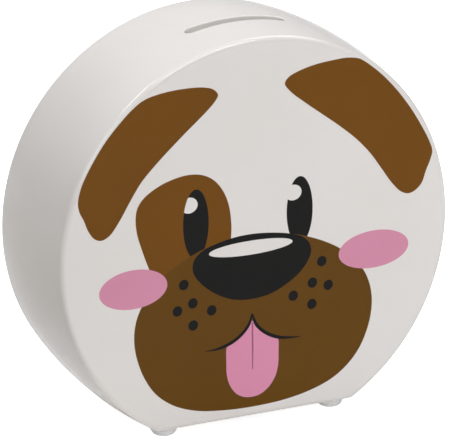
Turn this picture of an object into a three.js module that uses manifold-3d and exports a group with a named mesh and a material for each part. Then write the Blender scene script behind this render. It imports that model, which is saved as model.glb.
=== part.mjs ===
// Drum-shaped ceramic coin bank: a hollow slip-cast body with a flat face at the front and back,
// a flat base, a coin slot on top, a push-in stopper in the base and four stick-on feet.
// Millimetres. +Z is up, the decorated face looks along -Y, and z = 0 is the table.

import * as THREE from 'three';
import Module from 'manifold-3d';

// Body
const RIM_RADIUS = 62.1; // drum radius where the barrel meets the rounded face edges
const CROWN = 1.4; // how far the barrel swells between its two edges
const DEPTH = 44.4; // front face to back face
const AXIS_TO_BASE = 53.5; // drum axis down to the flat base
const EDGE_RADIUS = 1.8; // rounding between the faces and the barrel or base
const BASE_CORNER_RADIUS = 2.2; // rounding where the barrel runs into the base
const WALL = 4.5; // cast wall thickness
const INNER_EDGE_RADIUS = 1.6;

// Coin slot
const SLOT_LENGTH = 32.4; // passes a half dollar
const SLOT_WIDTH = 4.5;
const SLOT_Y = -6.1; // nearer the decorated face than the back

// Stopper and its hole in the base
const HOLE_RADIUS = 16.0;
const STOPPER_FLANGE_RADIUS = 18.0;
const STOPPER_FLANGE = 1.4;
const STOPPER_NECK_RADIUS = 15.5;
const STOPPER_BEAD_RADIUS = 15.8;
const STOPPER_HEIGHT = 9.0; // above the underside of the base
const STOPPER_WALL = 1.8;

// Feet
const FOOT_RADIUS = 4.0;
const FOOT_HEIGHT = 3.0;
const FOOT_FLAT_RADIUS = 2.3; // the part that touches the table
const ADHESIVE_RADIUS = 3.8;
const ADHESIVE = 0.15;
const FOOT_X = 27.1;
const FOOT_Y = 15.5;

const BASE_Z = FOOT_HEIGHT + ADHESIVE; // height of the ceramic base
const AXIS_Z = BASE_Z + AXIS_TO_BASE;

const wasm = await Module();
wasm.setup();

const MATERIALS = {
  glaze: { color: 0xe9e7e4, roughness: 0.16, metalness: 0 },
  stopper: { color: 0xdfe3e4, roughness: 0.5, metalness: 0 },
  foot: { color: 0xf4f4f2, roughness: 0.35, metalness: 0 },
  adhesive: { color: 0xd9d6cc, roughness: 0.6, metalness: 0 },
};

// One closed outline in X and Z about the drum axis: an arc of the given radius, a flat chord
// below it and a small arc in each corner. Every call returns the same number of points.
function outline(radius, drop, corner, bigSteps, cornerSteps) {
  const cx = Math.sqrt((radius - corner) ** 2 - (drop - corner) ** 2);
  const cz = -(drop - corner);
  const low = Math.atan2(cz, cx); // where the corner arc meets the big arc, right side
  const points = [];
  for (let i = 0; i < cornerSteps; i += 1) {
    const a = -Math.PI / 2 + ((low + Math.PI / 2) * i) / cornerSteps;
    points.push([cx + corner * Math.cos(a), cz + corner * Math.sin(a)]);
  }
  for (let i = 0; i < bigSteps; i += 1) {
    const a = low + ((Math.PI - 2 * low) * i) / bigSteps;
    points.push([radius * Math.cos(a), radius * Math.sin(a)]);
  }
  for (let i = 0; i <= cornerSteps; i += 1) {
    const a = Math.PI - low + ((low + Math.PI / 2) * i) / cornerSteps;
    points.push([-cx + corner * Math.cos(a), cz + corner * Math.sin(a)]);
  }
  return points;
}

// Skin of a drum made of such outlines, from the front face to the back face.
function drum(shape) {
  const half = shape.depth / 2;
  const straight = half - shape.edge;
  const stations = [];
  for (let i = 0; i <= shape.edgeSteps; i += 1) {
    const a = (Math.PI / 2) * (i / shape.edgeSteps);
    stations.push([-straight - shape.edge * Math.cos(a), shape.edge * (1 - Math.sin(a))]);
  }
  for (let i = 1; i < shape.barrelSteps; i += 1) {
    stations.push([-straight + (2 * straight * i) / shape.barrelSteps, 0]);
  }
  for (let i = shape.edgeSteps; i >= 0; i -= 1) {
    const a = (Math.PI / 2) * (i / shape.edgeSteps);
    stations.push([straight + shape.edge * Math.cos(a), shape.edge * (1 - Math.sin(a))]);
  }
  const rings = stations.map(([y, inset]) => {
    const swell = CROWN * Math.max(0, 1 - (y / straight) ** 2);
    return outline(
      shape.radius + swell - inset,
      shape.drop - inset,
      shape.corner - inset,
      shape.bigSteps,
      shape.cornerSteps,
    ).map(([x, z]) => [x, y, z]);
  });
  const positions = [];
  const faces = [];
  const n = rings[0].length;
  rings.flat().forEach(([x, y, z]) => positions.push(x, y, z + AXIS_Z));
  for (let r = 0; r + 1 < rings.length; r += 1) {
    for (let i = 0; i < n; i += 1) {
      const a = r * n + i;
      const b = r * n + ((i + 1) % n);
      faces.push(a, b + n, b);
      faces.push(a, a + n, b + n);
    }
  }
  const front = positions.length / 3;
  positions.push(0, -half, AXIS_Z);
  const back = front + 1;
  positions.push(0, half, AXIS_Z);
  const last = (rings.length - 1) * n;
  for (let i = 0; i < n; i += 1) {
    faces.push(front, i, (i + 1) % n);
    faces.push(back, last + ((i + 1) % n), last + i);
  }
  const geometry = new THREE.BufferGeometry();
  geometry.setAttribute('position', new THREE.Float32BufferAttribute(positions, 3));
  geometry.setIndex(faces);
  return geometry;
}

// Closed three.js geometry to a manifold solid, with shared corners joined.
function toSolid(geometry) {
  const spots = new Map();
  const vertices = [];
  const place = geometry.attributes.position;
  const remap = [];
  for (let i = 0; i < place.count; i += 1) {
    const xyz = [place.getX(i), place.getY(i), place.getZ(i)];
    const key = xyz.map((v) => Math.round(v * 1e4)).join();
    if (!spots.has(key)) {
      spots.set(key, vertices.length / 3);
      vertices.push(...xyz);
    }
    remap.push(spots.get(key));
  }
  const order = geometry.index ? Array.from(geometry.index.array) : remap.map((_, i) => i);
  const corners = [];
  for (let i = 0; i < order.length; i += 3) {
    const [a, b, c] = [remap[order[i]], remap[order[i + 1]], remap[order[i + 2]]];
    if (a !== b && b !== c && c !== a) {
      corners.push(a, b, c);
    }
  }
  return new wasm.Manifold(
    new wasm.Mesh({
      numProp: 3,
      vertProperties: new Float32Array(vertices),
      triVerts: new Uint32Array(corners),
    }),
  );
}

function toGeometry(solid) {
  const mesh = solid.getMesh();
  const geometry = new THREE.BufferGeometry();
  geometry.setAttribute('position', new THREE.BufferAttribute(mesh.vertProperties, 3));
  geometry.setIndex(new THREE.BufferAttribute(mesh.triVerts, 1));
  geometry.computeVertexNormals();
  return geometry;
}

// Solid of revolution about +Z from [radius, height] points.
function turned(profile, steps) {
  const points = profile.map(([radius, height]) => new THREE.Vector2(radius, height));
  const geometry = new THREE.LatheGeometry(points, steps);
  geometry.rotateX(Math.PI / 2);
  return geometry;
}

// Bar with two half-round ends, standing on z = 0, for cutting the coin slot.
function slotCutter(length, width, height) {
  const end = length / 2 - width / 2;
  const shape = new THREE.Shape();
  shape.moveTo(-end, -width / 2);
  shape.lineTo(end, -width / 2);
  shape.absarc(end, 0, width / 2, -Math.PI / 2, Math.PI / 2, false);
  shape.lineTo(-end, width / 2);
  shape.absarc(-end, 0, width / 2, Math.PI / 2, Math.PI * 1.5, false);
  return new THREE.ExtrudeGeometry(shape, { depth: height, bevelEnabled: false, curveSegments: 10 });
}

function ceramicBody() {
  const outer = drum({
    radius: RIM_RADIUS,
    drop: AXIS_TO_BASE,
    corner: BASE_CORNER_RADIUS,
    depth: DEPTH,
    edge: EDGE_RADIUS,
    edgeSteps: 4,
    barrelSteps: 6,
    bigSteps: 96,
    cornerSteps: 3,
  });
  const inner = drum({
    radius: RIM_RADIUS - WALL,
    drop: AXIS_TO_BASE - WALL,
    corner: BASE_CORNER_RADIUS,
    depth: DEPTH - 2 * WALL,
    edge: INNER_EDGE_RADIUS,
    edgeSteps: 2,
    barrelSteps: 4,
    bigSteps: 72,
    cornerSteps: 2,
  });
  const slot = slotCutter(SLOT_LENGTH, SLOT_WIDTH, 20);
  slot.translate(0, SLOT_Y, AXIS_Z + RIM_RADIUS - 14);
  const below = BASE_Z - 5;
  const above = BASE_Z + 8;
  const hole = turned([[0, below], [HOLE_RADIUS, below], [HOLE_RADIUS, above], [0, above]], 64);
  return toGeometry(
    toSolid(outer).subtract(toSolid(inner)).subtract(toSolid(slot)).subtract(toSolid(hole)),
  );
}

// Soft push-in plug: a thin flange under the base, a neck, a bead and an open cup inside.
function stopper() {
  const bead = STOPPER_BEAD_RADIUS;
  const cup = STOPPER_NECK_RADIUS - STOPPER_WALL;
  const geometry = turned(
    [
      [0, -STOPPER_FLANGE + 0.5],
      [11.4, -STOPPER_FLANGE + 0.5],
      [12.2, -STOPPER_FLANGE],
      [STOPPER_FLANGE_RADIUS - 0.5, -STOPPER_FLANGE],
      [STOPPER_FLANGE_RADIUS, -STOPPER_FLANGE + 0.5],
      [STOPPER_FLANGE_RADIUS, 0],
      [STOPPER_NECK_RADIUS, 0],
      [STOPPER_NECK_RADIUS, WALL + 0.3],
      [bead, WALL + 1.1],
      [bead, WALL + 2.1],
      [STOPPER_NECK_RADIUS - 0.6, STOPPER_HEIGHT - 0.4],
      [STOPPER_NECK_RADIUS - 1.0, STOPPER_HEIGHT],
      [cup, STOPPER_HEIGHT],
      [cup, 1.6],
      [cup - 0.8, 0.8],
      [0, 0.8],
    ],
    64,
  );
  geometry.translate(0, 0, BASE_Z);
  return geometry;
}

// Low dome on a flat top, smaller where it meets the table.
function foot() {
  const profile = [[0, 0], [FOOT_FLAT_RADIUS, 0]];
  const steps = 5;
  for (let i = 1; i <= steps; i += 1) {
    const a = (Math.PI / 2) * (i / steps);
    profile.push([
      FOOT_FLAT_RADIUS + (FOOT_RADIUS - FOOT_FLAT_RADIUS) * Math.sin(a),
      (FOOT_HEIGHT - 0.5) * (1 - Math.cos(a)),
    ]);
  }
  profile.push([FOOT_RADIUS, FOOT_HEIGHT], [0, FOOT_HEIGHT]);
  return turned(profile, 36);
}

function adhesiveDisc() {
  const profile = [[0, 0], [ADHESIVE_RADIUS, 0], [ADHESIVE_RADIUS, ADHESIVE], [0, ADHESIVE]];
  const geometry = turned(profile, 36);
  geometry.translate(0, 0, FOOT_HEIGHT);
  return geometry;
}

function piece(name, geometry, material) {
  const mesh = new THREE.Mesh(geometry, new THREE.MeshStandardMaterial(MATERIALS[material]));
  mesh.name = name;
  return mesh;
}

const bank = new THREE.Group();
bank.name = 'coin_bank';
bank.add(piece('ceramic_body', ceramicBody(), 'glaze'));
bank.add(piece('stopper', stopper(), 'stopper'));
for (const [place, x, y] of [
  ['front_left', -FOOT_X, -FOOT_Y],
  ['front_right', FOOT_X, -FOOT_Y],
  ['back_left', -FOOT_X, FOOT_Y],
  ['back_right', FOOT_X, FOOT_Y],
]) {
  const pad = piece(`foot_${place}`, foot(), 'foot');
  pad.position.set(x, y, 0);
  bank.add(pad);
  const glue = piece(`foot_adhesive_${place}`, adhesiveDisc(), 'adhesive');
  glue.position.set(x, y, 0);
  bank.add(glue);
}

export default bank;
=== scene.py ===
"""Looks of the ceramic coin bank: glazed body with a printed puppy face, feet and stopper."""

import math

import bmesh
import bpy
import numpy as np
from mathutils import Matrix, Vector, geometry


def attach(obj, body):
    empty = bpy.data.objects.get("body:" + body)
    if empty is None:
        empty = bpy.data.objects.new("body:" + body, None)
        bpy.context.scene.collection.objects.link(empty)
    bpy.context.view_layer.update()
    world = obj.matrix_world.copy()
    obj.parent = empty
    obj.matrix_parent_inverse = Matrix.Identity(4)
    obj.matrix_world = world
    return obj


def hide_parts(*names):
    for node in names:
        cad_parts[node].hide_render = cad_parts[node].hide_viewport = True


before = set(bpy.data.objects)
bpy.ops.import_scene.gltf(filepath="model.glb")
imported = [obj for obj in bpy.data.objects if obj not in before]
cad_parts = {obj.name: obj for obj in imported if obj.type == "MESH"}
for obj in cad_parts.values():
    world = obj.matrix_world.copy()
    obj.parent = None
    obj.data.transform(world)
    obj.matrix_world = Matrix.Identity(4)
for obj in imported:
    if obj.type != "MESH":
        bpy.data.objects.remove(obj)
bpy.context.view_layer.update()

MM = 0.001

# ---------------------------------------------------------------------------------------------
# Sizes in millimetres, as in the CAD source
# ---------------------------------------------------------------------------------------------
RIM = 62.1
CROWN = 1.4
DEPTH = 44.4
DROP = 53.5
EDGE = 1.8
CORNER = 2.2
WALL = 4.5
BASE_Z = 3.15
AXIS_Z = BASE_Z + DROP

SLOT_LENGTH = 32.4
SLOT_WIDTH = 4.5
SLOT_Y = -6.1
SLOT_LIP = 0.5
HOLE_RADIUS = 16.0
HOLE_LIP = 0.7

FOOT_X = 27.1
FOOT_Y = 15.5
FOOT_HEIGHT = 3.0

# Slots of the body's mesh
GLAZE, BISQUE, BROWN, MUZZLE, BLACK, CHEEK, TONGUE, TONGUE_LINE = range(8)


# ---------------------------------------------------------------------------------------------
# The printed face: outlines in millimetres from the drum axis, x to the right and z up
# ---------------------------------------------------------------------------------------------
def curve(points, closed=True, step=0.7):
    """Smooth line through the points (centripetal Catmull-Rom)."""
    p = [np.array(q, float) for q in points]
    if closed:
        p = [p[-1]] + p + [p[0], p[1]]
    else:
        p = [2 * p[0] - p[1]] + p + [2 * p[-1] - p[-2]]
    out = []
    for a, b, c, d in zip(p, p[1:], p[2:], p[3:]):
        t0 = 0.0
        t1 = t0 + max(np.linalg.norm(b - a), 1e-6) ** 0.5
        t2 = t1 + max(np.linalg.norm(c - b), 1e-6) ** 0.5
        t3 = t2 + max(np.linalg.norm(d - c), 1e-6) ** 0.5
        count = max(2, int(np.linalg.norm(c - b) / step))
        for t in np.linspace(t1, t2, count, endpoint=False):
            ab = (t1 - t) / (t1 - t0) * a + (t - t0) / (t1 - t0) * b
            bc = (t2 - t) / (t2 - t1) * b + (t - t1) / (t2 - t1) * c
            cd = (t3 - t) / (t3 - t2) * c + (t - t2) / (t3 - t2) * d
            abc = (t2 - t) / (t2 - t0) * ab + (t - t0) / (t2 - t0) * bc
            bcd = (t3 - t) / (t3 - t1) * bc + (t - t1) / (t3 - t1) * cd
            out.append((t2 - t) / (t2 - t1) * abc + (t - t1) / (t2 - t1) * bcd)
    if not closed:
        out.append(p[-2])
    return np.array(out)


def ellipse(cx, cz, rx, rz, step=0.6):
    count = max(16, int(2 * math.pi * max(rx, rz) / step))
    a = np.linspace(0, 2 * math.pi, count, endpoint=False)
    return np.stack([cx + rx * np.cos(a), cz + rz * np.sin(a)], 1)


def stroke(points, widths, step=0.5):
    """Outline of a pen line through the points, with a width at each point."""
    line = curve(points, closed=False, step=step)
    along = np.linalg.norm(np.diff(line, axis=0), axis=1)
    along = np.concatenate([[0], np.cumsum(along)])
    marks = [along[np.argmin(np.linalg.norm(line - np.array(q, float), axis=1))] for q in points]
    half = np.interp(along, marks, widths) / 2
    tangent = np.gradient(line, axis=0)
    tangent /= np.linalg.norm(tangent, axis=1)[:, None]
    normal = np.stack([-tangent[:, 1], tangent[:, 0]], 1)
    left = line + normal * half[:, None]
    right = line - normal * half[:, None]
    return np.concatenate([left, right[::-1]])


def within(outline, radius):
    """The outline pulled back to a circle about the drum axis where it goes outside."""
    r = np.linalg.norm(outline, axis=1)
    return outline * np.minimum(1.0, radius / r)[:, None]


PRINT_RADIUS = 61.0

left_ear = curve([
    (-12.9, 46.8), (-14.4, 48.6), (-17.5, 49.6), (-24.0, 50.0), (-31.0, 49.5), (-36.0, 48.3),
    (-39.2, 46.3), (-44.0, 41.9), (-48.0, 37.4), (-51.0, 33.2), (-53.6, 28.9), (-55.6, 24.8),
    (-56.6, 20.6), (-56.2, 17.9), (-54.8, 15.0), (-53.6, 11.9), (-51.6, 9.1), (-49.4, 8.3),
    (-46.8, 9.5), (-44.0, 13.0), (-40.3, 19.0), (-36.9, 24.0), (-32.0, 29.0), (-24.1, 36.0),
    (-16.9, 42.0), (-14.0, 44.8),
])
right_ear = curve([
    (8.2, 47.4), (9.4, 49.1), (12.5, 50.5), (18.0, 51.8), (24.0, 52.4), (28.5, 52.5),
    (32.5, 51.6), (35.4, 49.6), (40.0, 45.6), (44.0, 41.3), (47.2, 37.3), (50.2, 33.0),
    (53.0, 28.4), (55.4, 23.9), (56.6, 20.4), (56.0, 17.8), (54.6, 14.5), (53.3, 11.0),
    (51.4, 9.1), (49.0, 8.3), (46.5, 9.2), (43.5, 12.2), (40.0, 17.1), (36.2, 22.4),
    (31.5, 27.5), (26.0, 32.2), (20.0, 36.8), (14.0, 41.4), (10.2, 44.6),
])
eye_patch = curve([
    (-34.4, -3.0), (-37.0, 4.0), (-38.4, 8.8), (-38.8, 13.2), (-38.2, 16.4), (-36.2, 19.1),
    (-32.5, 21.5), (-28.0, 23.2), (-22.4, 24.1), (-18.0, 23.5), (-14.3, 21.5), (-11.4, 18.0),
    (-9.5, 13.5), (-8.7, 8.8), (-8.6, 4.5), (-9.5, -1.0), (-15.0, -6.0), (-25.0, -8.5),
    (-32.0, -7.0),
])
muzzle = curve([
    (-2.0, 1.6), (7.0, 1.9), (12.0, 1.15), (16.6, -0.35), (22.0, -2.7), (26.6, -5.4),
    (31.0, -9.0), (34.4, -13.2), (36.4, -17.5), (37.3, -22.0), (37.2, -26.5), (36.1, -31.5),
    (33.6, -37.2), (30.2, -41.5), (25.0, -45.4), (18.0, -48.1), (9.0, -49.8), (-1.5, -50.3),
    (-11.0, -49.9), (-20.0, -48.5), (-27.2, -45.6), (-32.6, -41.3), (-36.1, -36.0),
    (-38.4, -30.0), (-39.4, -24.0), (-38.9, -18.5), (-37.0, -13.7), (-33.5, -9.0),
    (-29.6, -5.2), (-25.0, -2.4), (-20.5, -0.2), (-16.5, 1.15), (-9.0, 1.9),
])
nose = curve([
    (-2.0, 3.3), (4.0, 2.8), (10.0, 1.65), (14.6, -0.1), (16.8, -2.6), (17.2, -4.9),
    (16.2, -7.6), (13.2, -11.1), (9.0, -13.9), (4.0, -16.0), (-2.0, -16.7), (-8.0, -15.9),
    (-13.2, -13.5), (-17.4, -10.3), (-20.2, -6.9), (-20.9, -4.6), (-20.3, -1.9), (-17.8, 0.4),
    (-13.2, 2.0), (-8.0, 3.0),
])
tongue = curve([
    (-1.8, -23.4), (-2.8, -25.4), (-4.8, -27.4), (-7.4, -29.1), (-9.7, -30.0), (-10.05, -30.8),
    (-10.05, -35.0), (-9.9, -39.0), (-9.0, -42.2), (-7.0, -45.2), (-4.4, -46.8), (-1.6, -47.2),
    (1.2, -46.7), (4.0, -44.7), (5.9, -41.8), (6.75, -38.4), (6.85, -34.0), (6.8, -30.9),
    (6.4, -30.0), (4.2, -29.1), (1.4, -27.4), (-0.7, -25.4),
])
tongue_line = stroke([(-1.7, -24.0), (-1.6, -31.0), (-1.55, -38.6)], [0.5, 0.55, 0.35])
mouth_left = stroke(
    [(-16.8, -30.6), (-13.2, -30.5), (-9.9, -29.8), (-7.0, -28.5), (-4.5, -26.6), (-2.7, -24.2),
     (-1.8, -21.3)],
    [0.2, 0.7, 1.05, 1.05, 1.0, 0.95, 0.5],
)
mouth_right = stroke(
    [(14.0, -30.8), (10.4, -30.6), (6.7, -29.9), (3.8, -28.6), (1.2, -26.7), (-0.7, -24.3),
     (-1.8, -21.3)],
    [0.2, 0.7, 1.05, 1.05, 1.0, 0.95, 0.5],
)

left_eye = ellipse(-19.85, 8.9, 4.05, 10.5)
right_eye = ellipse(13.35, 8.3, 4.2, 10.4)
left_glint = ellipse(-22.0, 14.85, 2.7, 2.4)
right_glint = ellipse(11.2, 14.0, 2.7, 2.4)
nose_glint = ellipse(-2.3, -0.85, 13.4, 2.15)
cheeks = [ellipse(-39.6, -8.0, 10.7, 5.95), ellipse(37.7, -7.3, 11.5, 5.8)]
freckles = [
    ellipse(x, z, 1.55, 1.6, step=0.5)
    for x, z in [
        (-25.7, -16.8), (-20.8, -15.1), (-14.8, -18.2), (-20.7, -21.9), (-23.7, -9.0),
        (22.9, -16.2), (17.7, -14.7), (11.5, -17.8), (17.6, -21.3), (20.7, -8.5),
    ]
]

# Print layers, lowest first. A layer with a clip outline only counts inside that outline.
layers = [
    (BROWN, within(left_ear, PRINT_RADIUS), None),
    (BROWN, within(right_ear, PRINT_RADIUS), None),
    (BROWN, eye_patch, None),
    (BLACK, left_eye, None),
    (BLACK, right_eye, None),
    (GLAZE, left_glint, left_eye),
    (GLAZE, right_glint, right_eye),
    (MUZZLE, muzzle, None),
    *[(CHEEK, c, None) for c in cheeks],
    (BLACK, nose, None),
    (GLAZE, nose_glint, None),
    *[(BLACK, f, None) for f in freckles],
    (TONGUE, tongue, None),
    (TONGUE_LINE, tongue_line, None),
    (BLACK, mouth_left, None),
    (BLACK, mouth_right, None),
]


def inside(points, outline):
    """For each point, whether it lies inside the closed outline."""
    x, z = points[:, 0], points[:, 1]
    hit = np.zeros(len(points), bool)
    for (ax, az), (bx, bz) in zip(outline, np.roll(outline, -1, axis=0)):
        crosses = (az > z) != (bz > z)
        if az != bz:
            hit ^= crosses & (x < (bx - ax) * (z - az) / (bz - az) + ax)
    return hit


# ---------------------------------------------------------------------------------------------
# Mesh building
# ---------------------------------------------------------------------------------------------
class Skin:
    """Points with their normals and faces with their material slots."""

    def __init__(self):
        self.points = []
        self.normals = []
        self.faces = []
        self.slots = []

    def add(self, point, normal):
        self.points.append(tuple(point))
        self.normals.append(tuple(normal))
        return len(self.points) - 1

    def face(self, corners, slot=GLAZE):
        self.faces.append(tuple(corners))
        self.slots.append(slot)

    def strip(self, first, second, slot=GLAZE, closed=True):
        """Quads between two equally long rows of points."""
        count = len(first)
        for i in range(count if closed else count - 1):
            j = (i + 1) % count
            self.face((first[i], first[j], second[j], second[i]), slot)

    def build(self, name, materials):
        mesh = bpy.data.meshes.new(name)
        mesh.from_pydata([Vector(p) * MM for p in self.points], [], self.faces)
        for material in materials:
            mesh.materials.append(material)
        mesh.polygons.foreach_set("material_index", self.slots)
        mesh.polygons.foreach_set("use_smooth", [True] * len(self.faces))
        mesh.update()
        mesh.normals_split_custom_set_from_vertices([Vector(n).normalized() for n in self.normals])
        made = bpy.data.objects.new(name, mesh)
        bpy.context.scene.collection.objects.link(made)
        return made


class Drum:
    """One skin of the drum, outer or inner, with its barrel, faces, base, slot and base hole."""

    def __init__(self, skin, rim, crown, half, drop, edge, corner, side):
        self.skin = skin
        self.rim = rim
        self.crown = crown
        self.half = half
        self.drop = drop
        self.edge = edge
        self.corner = corner
        self.side = side  # 1 where the skin faces out of the ceramic, -1 inside the cavity
        self.straight = half - edge
        reach = (self.straight**2 + crown**2) / (2 * crown)
        self.bow = reach + edge  # radius of the barrel's bowed line
        self.lean = math.asin(self.straight / reach)  # its slope where the edge rounding starts

    def barrel(self, y):
        """Radius and slope angle of the bowed barrel at depth y."""
        lean = math.asin(y / self.bow)
        return self.rim + self.crown - self.bow * (1 - math.cos(lean)), lean

    def stations(self):
        """Rows of points from front to back as (y, radius change, angle towards +Y)."""
        rows = []
        start = math.acos(1 - min(1.0, self.edge) / self.edge)
        edge_angles = np.linspace(start, self.lean, 9)
        rows += [(-self.straight - self.edge * math.sin(a), self.edge * (math.cos(a) - 1), -a)
                 for a in edge_angles]
        end = self.bow * math.sin(self.lean)
        share = end / 20.6
        marks = [-end, (SLOT_Y - 7) * share, (SLOT_Y + 7) * share, end]
        for lo, hi, count in zip(marks, marks[1:], (8, 12, 14)):
            for y in np.linspace(lo, hi, count, endpoint=False):
                if y > -end:
                    radius, lean = self.barrel(y)
                    rows.append((y, radius - self.rim, lean))
        rows += [(self.straight + self.edge * math.sin(a), self.edge * (math.cos(a) - 1), a)
                 for a in edge_angles[::-1]]
        self.slot_rows = (9 - 1 + 8, 9 - 1 + 8 + 12)
        self.hole_rows = (8, len(rows) - 9)
        return rows

    def outline(self, change):
        """Points and outward directions of the D-shaped outline for one row."""
        radius = self.rim + change
        cut = min(0.0, change)
        drop = self.drop + cut
        corner = self.corner + cut
        cx = math.sqrt((radius - corner) ** 2 - (drop - corner) ** 2)
        cz = corner - drop
        low = math.atan2(cz, cx)
        gap = math.asin(21.0 / 63.5)
        out = []
        for a in np.linspace(-math.pi / 2, low, 8, endpoint=False):
            way = (math.cos(a), math.sin(a))
            out.append((cx + corner * way[0], cz + corner * way[1], *way, 1.0))
        marks = [low, math.pi / 2 - gap, math.pi / 2 + gap, math.pi - low]
        for lo, hi, count in zip(marks, marks[1:], (90, 36, 90)):
            for a in np.linspace(lo, hi, count, endpoint=False):
                out.append((radius * math.cos(a), radius * math.sin(a), math.cos(a), math.sin(a), 1.0))
        for a in np.linspace(math.pi - low, 1.5 * math.pi, 8, endpoint=False):
            way = (math.cos(a), math.sin(a))
            out.append((-cx + corner * way[0], cz + corner * way[1], *way, 1.0))
        wide = 20.0 / 30.9 * cx
        for lo, hi, count in ((-cx, -wide, 5), (-wide, wide, 30), (wide, cx, 5)):
            for x in np.linspace(lo, hi, count, endpoint=False):
                out.append((x, -drop, 0.0, -1.0, 0.0))
        self.slot_columns = (8 + 90, 8 + 90 + 36)
        self.hole_columns = (8 + 216 + 8 + 5, 8 + 216 + 8 + 5 + 30)
        return out

    def edge_depth(self, x, z):
        """How far the point is inside the outline, and the outward direction there."""
        cx = math.sqrt((self.rim - self.corner) ** 2 - (self.drop - self.corner) ** 2)
        cz = self.corner - self.drop
        r = math.hypot(x, z)
        if abs(x) > cx and z / abs(x) < cz / cx:
            s = math.copysign(cx, x)
            d = math.hypot(x - s, z - cz)
            return self.corner - d, ((x - s) / d, (z - cz) / d)
        if z + self.drop < self.rim - r:
            return z + self.drop, (0.0, -1.0)
        return self.rim - r, (x / max(r, 1e-9), z / max(r, 1e-9))

    def grid(self):
        """Barrel, base and edge roundings, without the slot and hole patches."""
        rows = self.stations()
        self.index = []
        for y, change, lean in rows:
            line = []
            for x, z, nx, nz, bowed in self.outline(change):
                tilt = lean if bowed or abs(lean) > self.lean * 1.01 else 0.0
                normal = (nx * math.cos(tilt), math.sin(tilt), nz * math.cos(tilt))
                line.append(self.skin.add((x, y, z + AXIS_Z), [self.side * v for v in normal]))
            self.index.append(line)
        count = len(self.index[0])
        for r in range(len(rows) - 1):
            for i in range(count):
                j = (i + 1) % count
                in_slot = self.slot_rows[0] <= r < self.slot_rows[1]
                if in_slot and self.slot_columns[0] <= i < self.slot_columns[1]:
                    continue
                in_hole = self.hole_rows[0] <= r < self.hole_rows[1]
                if in_hole and self.hole_columns[0] <= i < self.hole_columns[1]:
                    continue
                a, b = self.index[r], self.index[r + 1]
                base = i >= 8 + 216 + 8 and in_hole
                slot = BISQUE if self.side < 0 or base else GLAZE
                self.skin.face((a[i], a[j], b[j], b[i]), slot)

    def rim_loop(self, rows, columns):
        """The grid's points round a patch, in order."""
        (r0, r1), (c0, c1) = rows, columns
        loop = [self.index[r0][c] for c in range(c0, c1)]
        loop += [self.index[r][c1] for r in range(r0, r1)]
        loop += [self.index[r1][c] for c in range(c1, c0, -1)]
        loop += [self.index[r][c0] for r in range(r1, r0, -1)]
        return loop

    def patch(self, loop, target, surface, rings, slot=GLAZE):
        """Fills from a loop of grid points in to a target outline on the same surface."""
        start = [np.array(self.skin.points[k])[:2] for k in loop]
        goal = [target(p) for p in start]
        before = loop
        for t in rings:
            row = []
            for p, q in zip(start, goal):
                x, y = p + (q - p) * t
                z, normal = surface(x, y)
                row.append(self.skin.add((x, y, z), [self.side * v for v in normal]))
            self.skin.strip(before, row, slot)
            before = row
        return before

    def cap(self, back, art=()):
        """Front or back face, from the last row of the grid inwards."""
        loop = self.index[-1] if back else self.index[0]
        points = [(self.skin.points[k][0], self.skin.points[k][2] - AXIS_Z) for k in loop]
        edges = [(i, (i + 1) % len(points)) for i in range(len(points))]
        fixed = len(points)

        def add_loop(outline):
            first = len(points)
            points.extend((float(x), float(z)) for x, z in outline)
            edges.extend((first + i, first + (i + 1) % len(outline)) for i in range(len(outline)))

        for deep in (0.62, 0.74, 0.86, 1.0):
            change = -self.edge * deep
            if deep * self.edge > min(1.0, self.edge) + 0.01:
                add_loop([(x, z) for x, z, *_ in self.outline(change)])
        for _, outline, _ in art:
            add_loop(outline)
        spacing = 3.2
        steps = int(self.rim / spacing) + 1
        for i in range(-steps, steps + 1):
            for j in range(-steps, steps + 1):
                x = (i + 0.5 * (j % 2)) * spacing
                z = j * spacing * 0.866
                depth, _ = self.edge_depth(x, z)
                if depth > self.edge + 1.0:
                    points.append((x, z))
        flat, _, faces, origins, _, _ = geometry.delaunay_2d_cdt(
            [Vector(p) for p in points], edges, [], 0, 1e-4
        )
        keep = []
        for place, from_points in zip(flat, origins):
            on_grid = [k for k in from_points if k < fixed]
            if on_grid:
                keep.append(loop[on_grid[0]])
                continue
            depth, (ox, oz) = self.edge_depth(place.x, place.y)
            lean = math.acos(1 - min(max(depth, 0.0), self.edge) / self.edge)
            y = self.straight + self.edge * math.sin(lean)
            way = 1 if back else -1
            normal = (ox * math.cos(lean), way * math.sin(lean), oz * math.cos(lean))
            if depth >= self.edge - 1e-6:
                y = self.half
                normal = (0.0, way, 0.0)
            keep.append(self.skin.add(
                (place.x, way * y, place.y + AXIS_Z), [self.side * v for v in normal]
            ))
        places = np.array([tuple(p) for p in flat])
        middles = np.array([places[list(f)].mean(0) for f in faces])
        slots = np.full(len(faces), BISQUE if self.side < 0 else GLAZE)
        for slot, outline, clip in art:
            hit = inside(middles, outline)
            if clip is not None:
                hit &= inside(middles, clip)
            slots[hit] = slot
        for f, slot in zip(faces, slots):
            corners = [keep[k] for k in f]
            if len(set(corners)) == 3:
                self.skin.face(corners, int(slot))


def slot_point(p):
    """Nearest point on the slot's middle line, and the direction from there to p."""
    half = SLOT_LENGTH / 2 - SLOT_WIDTH / 2
    foot = np.array([min(max(p[0], -half), half), SLOT_Y])
    way = np.array(p[:2]) - foot
    return foot, way / np.linalg.norm(way)


def slot_edge(p):
    """Nearest point of the slot's outline."""
    foot, way = slot_point(p)
    return foot + way * SLOT_WIDTH / 2


# How far down the slot's throat each ring lies, and what covers the strip above it
THROAT_RINGS = ((0.35, GLAZE), (0.46, BISQUE), (1.0, BISQUE))


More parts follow.
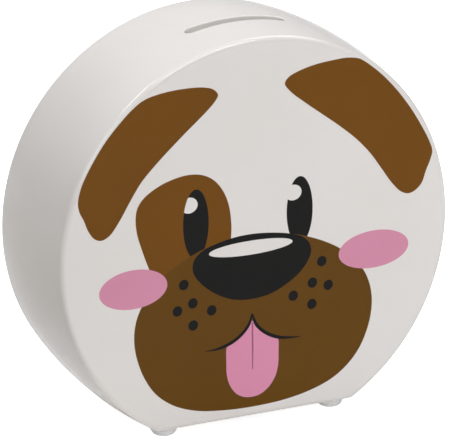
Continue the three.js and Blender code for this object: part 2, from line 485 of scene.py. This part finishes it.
def ceramic_body():
    """Outside, inside, slot and hole of the body, joined into one closed skin."""
    skin = Skin()
    outer = Drum(skin, RIM, CROWN, DEPTH / 2, DROP, EDGE, CORNER, 1)
    inner = Drum(skin, RIM - WALL, CROWN, DEPTH / 2 - WALL, DROP - WALL, 1.6, CORNER, -1)
    for part in (outer, inner):
        part.grid()

    def barrel_surface(part):
        def surface(x, y):
            radius, lean = part.barrel(y)
            z = math.sqrt(radius * radius - x * x)
            return z + AXIS_Z, (x / radius * math.cos(lean), math.sin(lean), z / radius * math.cos(lean))
        return surface

    # Slot: surface to rounded lip to throat to the cavity
    rings = {}
    for part, slot in ((outer, GLAZE), (inner, BISQUE)):
        loop = part.rim_loop(part.slot_rows, part.slot_columns)
        steps = np.linspace(0, 1, 7)[1:]
        rings[part] = part.patch(loop, slot_edge, barrel_surface(part), steps, slot)
    top = rings[outer]
    places = [np.array(skin.points[k]) for k in top]
    ways = [slot_point(p)[1] for p in places]
    surface = barrel_surface(outer)
    before = top
    for angle in np.linspace(0, math.pi / 2, 8)[1:]:
        row = []
        for p, way in zip(places, ways):
            x, y = p[:2] - way * SLOT_LIP * math.sin(angle)
            z, normal = surface(x, y)
            z -= SLOT_LIP * (1 - math.cos(angle))
            n = np.array(normal) * math.cos(angle) - np.array([*way, 0]) * math.sin(angle)
            row.append(skin.add((x, y, z), n))
        skin.strip(before, row, GLAZE)
        before = row
    under = barrel_surface(inner)
    for share, slot in THROAT_RINGS:
        row = []
        for k, way in zip(before, ways):
            x, y, z = skin.points[k]
            low = under(x, y)[0] + 0.3
            row.append(skin.add((x, y, z + (low - z) * share), (-way[0], -way[1], 0)))
        skin.strip(before, row, slot)
        before = row
    skin.strip(before, rings[inner], BISQUE)

    # Hole in the base
    def flat(part):
        def surface(x, y):
            return AXIS_Z - part.drop, (0.0, 0.0, -1.0)
        return surface

    def ring(radius):
        def target(p):
            return np.array(p) / np.linalg.norm(p) * radius
        return target

    ends = {}
    for part, radius in ((outer, HOLE_RADIUS + HOLE_LIP), (inner, HOLE_RADIUS)):
        loop = part.rim_loop(part.hole_rows, part.hole_columns)
        ends[part] = part.patch(loop, ring(radius), flat(part), (0.3, 0.6, 1.0), BISQUE)
    before = ends[outer]
    flat_ways = [np.array(skin.points[k][:2]) / np.linalg.norm(skin.points[k][:2]) for k in before]
    for angle in np.linspace(0, math.pi / 2, 5)[1:]:
        reach = HOLE_RADIUS + HOLE_LIP * (1 - math.sin(angle))
        height = BASE_Z + HOLE_LIP * (1 - math.cos(angle))
        row = [
            skin.add((way[0] * reach, way[1] * reach, height),
                     (-way[0] * math.sin(angle), -way[1] * math.sin(angle), -math.cos(angle)))
            for way in flat_ways
        ]
        skin.strip(before, row, BISQUE)
        before = row
    skin.strip(before, ends[inner], BISQUE)

    outer.cap(False, layers)
    outer.cap(True)
    inner.cap(False)
    inner.cap(True)
    return skin


def orient(skin):
    """Flips faces whose corner order disagrees with their points' normals."""
    points = np.array(skin.points)
    normals = np.array(skin.normals)
    for k, corners in enumerate(skin.faces):
        p = points[list(corners)]
        across = np.cross(p[1] - p[0], p[-1] - p[0]) + np.cross(p[2] - p[1], p[-1] - p[1])
        if across @ normals[list(corners)].sum(0) < 0:
            skin.faces[k] = tuple(reversed(corners))


def turned(name, profile, materials, steps=96, smooth_angle=35):
    """Solid of revolution about +Z from [radius, height] points that start and end on the axis."""
    bm = bmesh.new()
    rows = []
    for radius, height in profile:
        if radius < 1e-6:
            rows.append([bm.verts.new((0, 0, height * MM))])
        else:
            rows.append([
                bm.verts.new((radius * MM * math.cos(2 * math.pi * i / steps),
                              radius * MM * math.sin(2 * math.pi * i / steps), height * MM))
                for i in range(steps)
            ])
    for a, b in zip(rows, rows[1:]):
        for i in range(steps):
            j = (i + 1) % steps
            if len(a) == 1:
                bm.faces.new((a[0], b[i], b[j]))
            elif len(b) == 1:
                bm.faces.new((a[i], b[0], a[j]))
            else:
                bm.faces.new((a[i], b[i], b[j], a[j]))
    bmesh.ops.recalc_face_normals(bm, faces=bm.faces)
    mesh = bpy.data.meshes.new(name)
    bm.to_mesh(mesh)
    bm.free()
    for material in materials:
        mesh.materials.append(material)
    mesh.polygons.foreach_set("use_smooth", [True] * len(mesh.polygons))
    mesh.set_sharp_from_angle(angle=math.radians(smooth_angle))
    made = bpy.data.objects.new(name, mesh)
    bpy.context.scene.collection.objects.link(made)
    return made


def arc(cx, cz, radius, start, end, steps=6):
    """Profile points on a circle, from one angle to another in degrees."""
    return [
        (cx + radius * math.cos(math.radians(a)), cz + radius * math.sin(math.radians(a)))
        for a in np.linspace(start, end, steps)
    ]


# ---------------------------------------------------------------------------------------------
# Materials
# ---------------------------------------------------------------------------------------------
class Shader:
    """Node material with a Principled surface and helpers for procedural patterns."""

    def __init__(self, name, **values):
        self.material = bpy.data.materials.new(name)
        self.material.use_nodes = True
        self.nodes = self.material.node_tree.nodes
        self.links = self.material.node_tree.links
        self.surface = self.nodes["Principled BSDF"]
        for key, value in values.items():
            self.surface.inputs[key.replace("_", " ")].default_value = value
        self.place = self.nodes.new("ShaderNodeTexCoord").outputs["Object"]

    def noise(self, scale, detail=3.0, roughness=0.5):
        node = self.nodes.new("ShaderNodeTexNoise")
        node.inputs["Scale"].default_value = scale
        node.inputs["Detail"].default_value = detail
        node.inputs["Roughness"].default_value = roughness
        self.links.new(self.place, node.inputs["Vector"])
        return node.outputs["Fac"]

    def ramp(self, value, stops):
        node = self.nodes.new("ShaderNodeValToRGB")
        while len(node.color_ramp.elements) < len(stops):
            node.color_ramp.elements.new(0.5)
        for element, (position, colour) in zip(node.color_ramp.elements, stops):
            element.position = position
            element.color = (*colour, 1.0) if len(colour) == 3 else colour
        self.links.new(value, node.inputs["Fac"])
        return node.outputs["Color"]

    def spread(self, value, low, high, start=0.3, end=0.7):
        node = self.nodes.new("ShaderNodeMapRange")
        node.inputs["From Min"].default_value = start
        node.inputs["From Max"].default_value = end
        node.inputs["To Min"].default_value = low
        node.inputs["To Max"].default_value = high
        self.links.new(value, node.inputs["Value"])
        return node.outputs["Result"]

    def mix(self, factor, first, second):
        node = self.nodes.new("ShaderNodeMix")
        node.data_type = "RGBA"
        self.join(factor, node.inputs[0])
        self.join(first, node.inputs[6])
        self.join(second, node.inputs[7])
        return node.outputs[2]

    def join(self, value, socket):
        if isinstance(value, bpy.types.NodeSocket):
            self.links.new(value, socket)
        elif isinstance(value, (int, float)):
            socket.default_value = value
        else:
            socket.default_value = (*value, 1.0) if len(value) == 3 else value

    def bump(self, height, strength, distance, below=None):
        node = self.nodes.new("ShaderNodeBump")
        node.inputs["Strength"].default_value = strength
        node.inputs["Distance"].default_value = distance
        self.links.new(height, node.inputs["Height"])
        if below is not None:
            self.links.new(below, node.inputs["Normal"])
        return node.outputs["Normal"]

    def set(self, key, value):
        self.join(value, self.surface.inputs[key])


def srgb(r, g, b):
    """Linear colour of an 8-bit sRGB colour."""
    def one(v):
        v /= 255
        return v / 12.92 if v <= 0.04045 else ((v + 0.055) / 1.055) ** 2.4
    return one(r), one(g), one(b)


def shade(colour, factor):
    """The colour made darker or lighter, no channel past 1."""
    return tuple(min(1.0, c * factor) for c in colour)


def glazed(name, colour, drift=0.03, roughness=(0.10, 0.17), gloss=0.15):
    """Glossy fired glaze over a smooth white body, clear or coloured by print."""
    s = Shader(name, Specular_IOR_Level=gloss, IOR=1.5)
    cloud = s.noise(28.0, detail=3.0)
    warm = tuple(c * f for c, f in zip(shade(colour, 1 - drift), (1.0, 0.995, 0.985)))
    cool = tuple(min(1.0, c * f) for c, f in zip(shade(colour, 1 + drift), (1.0, 1.0, 1.003)))
    base = s.ramp(cloud, [(0.35, warm), (0.65, cool)])
    fine = s.noise(900.0, detail=2.0)
    base = s.mix(s.spread(fine, 0.0, 0.5 * drift + 0.01, 0.45, 0.75), base, shade(colour, 0.8))
    s.set("Base Color", base)
    s.set("Roughness", s.spread(s.noise(60.0, detail=4.0), *roughness))
    waves = s.noise(34.0, detail=1.0)
    peel = s.noise(420.0, detail=2.0)
    normal = s.bump(waves, 0.22, 0.0006)
    s.set("Normal", s.bump(peel, 0.05, 0.00012, normal))
    return s.material


def bisque(name):
    """Bare fired clay, matt and slightly grainy, on the base and inside."""
    s = Shader(name, Specular_IOR_Level=0.35)
    cloud = s.noise(40.0, detail=5.0, roughness=0.6)
    base = s.ramp(cloud, [(0.3, srgb(214, 207, 196)), (0.7, srgb(233, 228, 219))])
    grain = s.noise(1500.0, detail=2.0)
    base = s.mix(s.spread(grain, 0.0, 0.25, 0.55, 0.8), base, srgb(186, 176, 160))
    s.set("Base Color", base)
    s.set("Roughness", s.spread(cloud, 0.62, 0.8))
    s.set("Normal", s.bump(grain, 0.25, 0.0002))
    return s.material


def soft_plastic(name):
    """Milky soft plastic of the stopper, with handling dust and fine mould texture."""
    s = Shader(name, Specular_IOR_Level=0.45, Subsurface_Weight=0.15, Subsurface_Scale=0.004)
    cloud = s.noise(70.0, detail=4.0)
    base = s.ramp(cloud, [(0.3, srgb(206, 210, 211)), (0.7, srgb(224, 227, 227))])
    dust = s.noise(260.0, detail=6.0, roughness=0.7)
    base = s.mix(s.spread(dust, 0.0, 0.35, 0.56, 0.75), base, srgb(190, 188, 182))
    s.set("Base Color", base)
    s.set("Roughness", s.spread(dust, 0.38, 0.58))
    s.set("Normal", s.bump(s.noise(1200.0, detail=2.0), 0.18, 0.0001))
    return s.material


def foot_rubber(name):
    """Smooth white silicone, a little scuffed where it touches the table."""
    s = Shader(name, Specular_IOR_Level=0.5, Subsurface_Weight=0.1, Subsurface_Scale=0.002)
    cloud = s.noise(220.0, detail=3.0)
    base = s.ramp(cloud, [(0.3, srgb(248, 248, 247)), (0.7, srgb(254, 254, 254))])
    s.set("Base Color", base)
    s.set("Roughness", s.spread(s.noise(500.0, detail=4.0), 0.22, 0.42))
    s.set("Normal", s.bump(s.noise(900.0), 0.1, 0.0001))
    return s.material


def adhesive(name):
    """Thin matt film between a foot and the base."""
    s = Shader(name, Specular_IOR_Level=0.4)
    cloud = s.noise(300.0, detail=4.0)
    s.set("Base Color", s.ramp(cloud, [(0.3, srgb(206, 201, 188)), (0.7, srgb(226, 222, 212))]))
    s.set("Roughness", s.spread(cloud, 0.5, 0.7))
    s.set("Normal", s.bump(cloud, 0.2, 0.00005))
    return s.material


WHITE = srgb(236, 232, 229)
body_materials = [
    glazed("glaze_white", WHITE, drift=0.012, gloss=0.5),
    bisque("bare_clay"),
    glazed("print_brown", srgb(118, 73, 2), drift=0.03),
    glazed("print_dark_brown", srgb(102, 67, 2), drift=0.03),
    glazed("print_black", srgb(16, 16, 15), drift=0.05),
    glazed("print_pink", srgb(222, 150, 178), drift=0.015),
    glazed("print_tongue", srgb(228, 150, 182), drift=0.015),
    glazed("print_tongue_line", srgb(163, 96, 124), drift=0.03),
]

# ---------------------------------------------------------------------------------------------
# Pieces
# ---------------------------------------------------------------------------------------------
skin = ceramic_body()
orient(skin)
body = skin.build("ceramic_body_glazed", body_materials)
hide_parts("ceramic_body")
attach(body, "bank")

stopper_profile = (
    [(0, -0.9)]
    + arc(10.6, -1.2, 0.3, 90, 20, 4)
    + arc(11.6, -1.05, 0.35, 200, 270, 4)
    + arc(17.4, -0.8, 0.6, 270, 360, 7)
    + arc(17.7, -0.3, 0.3, 0, 90, 5)
    + [(15.5, 0.0), (15.5, 4.9)]
    + arc(15.1, 6.1, 0.7, -50, 50, 7)
    + [(14.9, 8.5)]
    + arc(14.4, 8.6, 0.4, 10, 90, 4)
    + arc(14.0, 8.7, 0.3, 90, 180, 4)
    + arc(12.9, 1.6, 0.8, 0, -90, 5)
    + [(0, 0.8)]
)
stopper = turned("stopper_plug", stopper_profile, [soft_plastic("soft_plastic")], steps=128)
stopper.location.z = BASE_Z * MM
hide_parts("stopper")
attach(stopper, "stopper")

rubber = foot_rubber("foot_rubber")
glue = adhesive("adhesive")
foot_profile = (
    [(0, 0.0), (1.9, 0.0)]
    + [(2.2 + 1.8 * math.sin(a), 2.5 * (1 - math.cos(a))) for a in np.linspace(0.12, math.pi / 2, 14)]
    + arc(3.85, FOOT_HEIGHT - 0.15, 0.15, 0, 90, 4)
    + [(0, FOOT_HEIGHT)]
)
film_low = FOOT_HEIGHT
film_high = BASE_Z
adhesive_profile = [
    (0, film_low), (3.75, film_low), (3.8, film_low + 0.05),
    (3.8, film_high - 0.05), (3.75, film_high), (0, film_high),
]
for place, x, y in (
    ("front_left", -FOOT_X, -FOOT_Y),
    ("front_right", FOOT_X, -FOOT_Y),
    ("back_left", -FOOT_X, FOOT_Y),
    ("back_right", FOOT_X, FOOT_Y),
):
    pad = turned(f"foot_{place}_dome", foot_profile, [rubber], steps=64)
    pad.location = (x * MM, y * MM, 0)
    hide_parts(f"foot_{place}")
    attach(pad, "bank")
    film = turned(f"foot_adhesive_{place}_film", adhesive_profile, [glue], steps=64)
    film.location = (x * MM, y * MM, 0)
    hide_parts(f"foot_adhesive_{place}")
    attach(film, "bank")

# ---------------------------------------------------------------------------------------------
# Stage, light and camera
# ---------------------------------------------------------------------------------------------
scene = bpy.context.scene
scene.view_settings.view_transform = "Standard"

world = bpy.data.worlds.new("studio")
world.use_nodes = True
scene.world = world


# Strengths given as light, and strengths as the camera sees them
WORLD_GIVEN = 0.04
WORLD_SEEN = 1.0
FLOOR_GIVEN = 0.07
FLOOR_SEEN = 0.80


def seen(nodes, links, elsewhere, seen_directly):
    """One strength for what the camera sees directly and another for the light that is given."""
    path = nodes.new("ShaderNodeLightPath")
    choose = nodes.new("ShaderNodeMapRange")
    choose.inputs["To Min"].default_value = elsewhere
    choose.inputs["To Max"].default_value = seen_directly
    links.new(path.outputs["Is Camera Ray"], choose.inputs["Value"])
    return choose.outputs["Result"]


tree = world.node_tree
tree.nodes["Background"].inputs["Color"].default_value = (1.0, 1.0, 1.0, 1.0)
world_strength = seen(tree.nodes, tree.links, WORLD_GIVEN, WORLD_SEEN)
tree.links.new(world_strength, tree.nodes["Background"].inputs["Strength"])


def floor_sweep():
    """Table and backdrop in one curved sheet."""
    width, front, back, rise = 1.3, -2.2, 0.9, 1.6
    bend = 0.5
    profile = [(front, 0.0), (back, 0.0)]
    profile += [
        (back + bend * math.sin(a), bend * (1 - math.cos(a)))
        for a in np.linspace(0, math.pi / 2, 16)[1:]
    ]
    profile.append((back + bend, rise))
    points = [(s * width, y, z) for y, z in profile for s in (-1, 1)]
    faces = [(2 * i, 2 * i + 1, 2 * i + 3, 2 * i + 2) for i in range(len(profile) - 1)]
    mesh = bpy.data.meshes.new("table")
    mesh.from_pydata(points, [], faces)
    mesh.polygons.foreach_set("use_smooth", [True] * len(faces))
    made = bpy.data.objects.new("table", mesh)
    scene.collection.objects.link(made)
    s = Shader("table_paper", Roughness=0.9)
    tone = s.ramp(s.noise(3.0, detail=3.0), [(0.3, (0.95, 0.95, 0.95)), (0.7, (0.97, 0.97, 0.97))])
    s.set("Base Color", tone)
    s.set("Emission Color", (1.0, 1.0, 1.0))
    s.set("Emission Strength", seen(s.nodes, s.links, FLOOR_GIVEN, FLOOR_SEEN))
    mesh.materials.append(s.material)
    return made


floor_sweep()


def area_light(name, location, target, size, power, colour=(1, 1, 1)):
    data = bpy.data.lights.new(name, "AREA")
    data.shape = "RECTANGLE"
    data.size, data.size_y = size
    data.energy = power
    data.color = colour
    made = bpy.data.objects.new(name, data)
    made.location = location
    made.rotation_euler = (Vector(target) - Vector(location)).to_track_quat("-Z", "Y").to_euler()
    scene.collection.objects.link(made)
    return made


middle = (0.0, 0.0, 0.06)
area_light("top_softbox", (0.0, 0.0, 1.3), middle, (0.9, 0.9), 2.85)
area_light("top_left_strip", (-0.6, 0.5, 1.1), middle, (0.8, 0.16), 4.0)
area_light("top_right_softbox", (0.7, 0.2, 1.1), middle, (0.6, 0.6), 4.1)
area_light("front_left_softbox", (-0.9, -0.9, 0.6), middle, (0.6, 0.6), 3.6)
area_light("front_high_strip", (0.1, -0.8, 1.1), middle, (0.9, 0.2), 7.5)


def grey_card():
    """Card left of the bank that keeps the table's light off its lower left side."""
    corners = [(-0.50, -0.28, 0.002), (-0.08, -0.28, 0.002), (-0.08, 0.30, 0.002), (-0.50, 0.30, 0.002)]
    mesh = bpy.data.meshes.new("grey_card")
    mesh.from_pydata(corners, [], [(0, 1, 2, 3)])
    made = bpy.data.objects.new("grey_card", mesh)
    scene.collection.objects.link(made)
    made.visible_camera = False
    made.visible_shadow = False
    made.visible_glossy = False
    s = Shader("card_paper", Roughness=0.9)
    s.set("Base Color", s.ramp(s.noise(3.0), [(0.3, (0.21, 0.18, 0.15)), (0.7, (0.25, 0.22, 0.19))]))
    mesh.materials.append(s.material)
    return made


grey_card()

camera_data = bpy.data.cameras.new("camera")
camera = bpy.data.objects.new("camera", camera_data)
scene.collection.objects.link(camera)
scene.camera = camera


CAMERA_AZIMUTH = 25.61
CAMERA_ELEVATION = 19.22
CAMERA_ROLL = 0.16
CAMERA_DISTANCE = 20.0 * RIM
CAMERA_LEFT = 0.0020 * RIM
CAMERA_UP = 0.0038 * RIM
CAMERA_LENS = 339.53


def aim_camera():
    """Camera left of the face and above it, a long lens from about 1.2 m."""
    azimuth, elevation, roll = (
        math.radians(v) for v in (CAMERA_AZIMUTH, CAMERA_ELEVATION, CAMERA_ROLL)
    )
    back = Vector((
        -math.sin(azimuth) * math.cos(elevation),
        -math.cos(azimuth) * math.cos(elevation),
        math.sin(elevation),
    ))
    right = (-back).cross(Vector((0, 0, 1))).normalized()
    up = right.cross(-back)
    side = right * math.cos(roll) + up * math.sin(roll)
    above = up * math.cos(roll) - right * math.sin(roll)
    centre = Vector((0, 0, AXIS_Z * MM))
    place = centre + (back * CAMERA_DISTANCE - side * CAMERA_LEFT + above * CAMERA_UP) * MM
    turn = Matrix((side, above, back)).transposed().to_4x4()
    camera.matrix_world = Matrix.Translation(place) @ turn
    camera_data.sensor_width = 36.0
    camera_data.lens = CAMERA_LENS
    camera_data.clip_start = 0.05
    camera_data.clip_end = 20.0


aim_camera()
